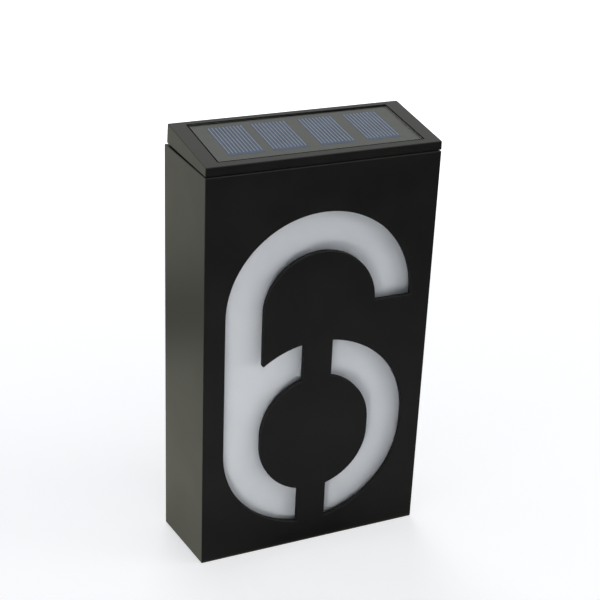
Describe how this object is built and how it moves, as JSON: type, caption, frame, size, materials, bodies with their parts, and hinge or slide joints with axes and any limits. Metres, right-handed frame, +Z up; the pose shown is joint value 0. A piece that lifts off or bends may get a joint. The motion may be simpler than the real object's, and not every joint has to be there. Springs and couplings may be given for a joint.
{
  "type": "illuminated house number sign",
  "caption": "Wall-hung solar house number sign: black wedge-capped box with a stencil numeral over an opal diffuser, with a battery door and a slide switch at the back.",
  "frame": {"origin": "centre of the back, on the wall plane", "axes": "+Z up, +Y into the wall, so the numeral faces -Y; +X to the reader's right"},
  "size_m": [0.1016, 0.0406, 0.1841],
  "materials": {
    "black_abs": "satin moulded",
    "opal_acrylic": "smooth milky sheet",
    "white_abs": "smooth moulded",
    "white_board": "white solder mask",
    "green_board": "green solder mask",
    "led_lens": "clear epoxy over pale phosphor",
    "zinc_steel": "zinc plated",
    "stainless_steel": "bright stainless",
    "nickel_strip": "nickel plated",
    "seal_rubber": "matt rubber",
    "adhesive_pad": "foam adhesive pad",
    "cell_sleeve": "printed sleeve, no print",
    "chip_epoxy": "moulded epoxy",
    "ferrite_winding": "ferrite with enamelled winding",
    "capacitor_can": "drawn can",
    "panel_board": "black solder mask",
    "solar_silicon": "blue coated silicon with silver fingers",
    "clear_resin": "clear glossy resin",
    "red_pvc": "smooth insulation",
    "black_pvc": "smooth insulation"
  },
  "bodies": {
    "housing": {"front_housing": "black_abs", "cap": "black_abs", "back_plate": "black_abs", "diffuser": "opal_acrylic", "reflector_tray": "white_abs", "led_board": "white_board", "control_board": "green_board", "led_1": "led_lens", "led_2": "led_lens", "led_3": "led_lens", "led_4": "led_lens", "tray_screws": "zinc_steel", "led_board_screws": "zinc_steel", "control_board_screws": "zinc_steel", "cap_screws": "zinc_steel", "back_plate_screws": "stainless_steel", "negative_contact": "nickel_strip", "positive_contact": "nickel_strip", "battery_spring": "nickel_strip", "switch_housing": "nickel_strip", "cap_seal": "seal_rubber", "back_plate_seal": "seal_rubber", "panel_pad": "adhesive_pad", "battery_cell": "cell_sleeve", "driver_chip": "chip_epoxy", "chip_resistors": "chip_epoxy", "inductor": "ferrite_winding", "capacitor": "capacitor_can", "solar_board": "panel_board", "solar_cell_1": "solar_silicon", "solar_cell_2": "solar_silicon", "solar_cell_3": "solar_silicon", "solar_cell_4": "solar_silicon", "solar_cover": "clear_resin", "solar_lead_red": "red_pvc", "led_lead_red": "red_pvc", "battery_lead_red": "red_pvc", "solar_lead_black": "black_pvc", "led_lead_black": "black_pvc", "battery_lead_black": "black_pvc"},
    "knob": {"switch_knob": "black_abs"},
    "door": {"battery_door": "black_abs", "battery_door_seal": "seal_rubber", "battery_door_screws": "stainless_steel"}
  },
  "joints": [
    {"name": "switch_slide", "type": "slide", "parent": "housing", "child": "knob", "axis": [1, 0, 0], "range_m": [0, 0.0025]},
    {"name": "battery_door_lift", "type": "slide", "parent": "housing", "child": "door", "axis": [0, 1, 0], "range_m": [0, 0.06]}
  ]
}
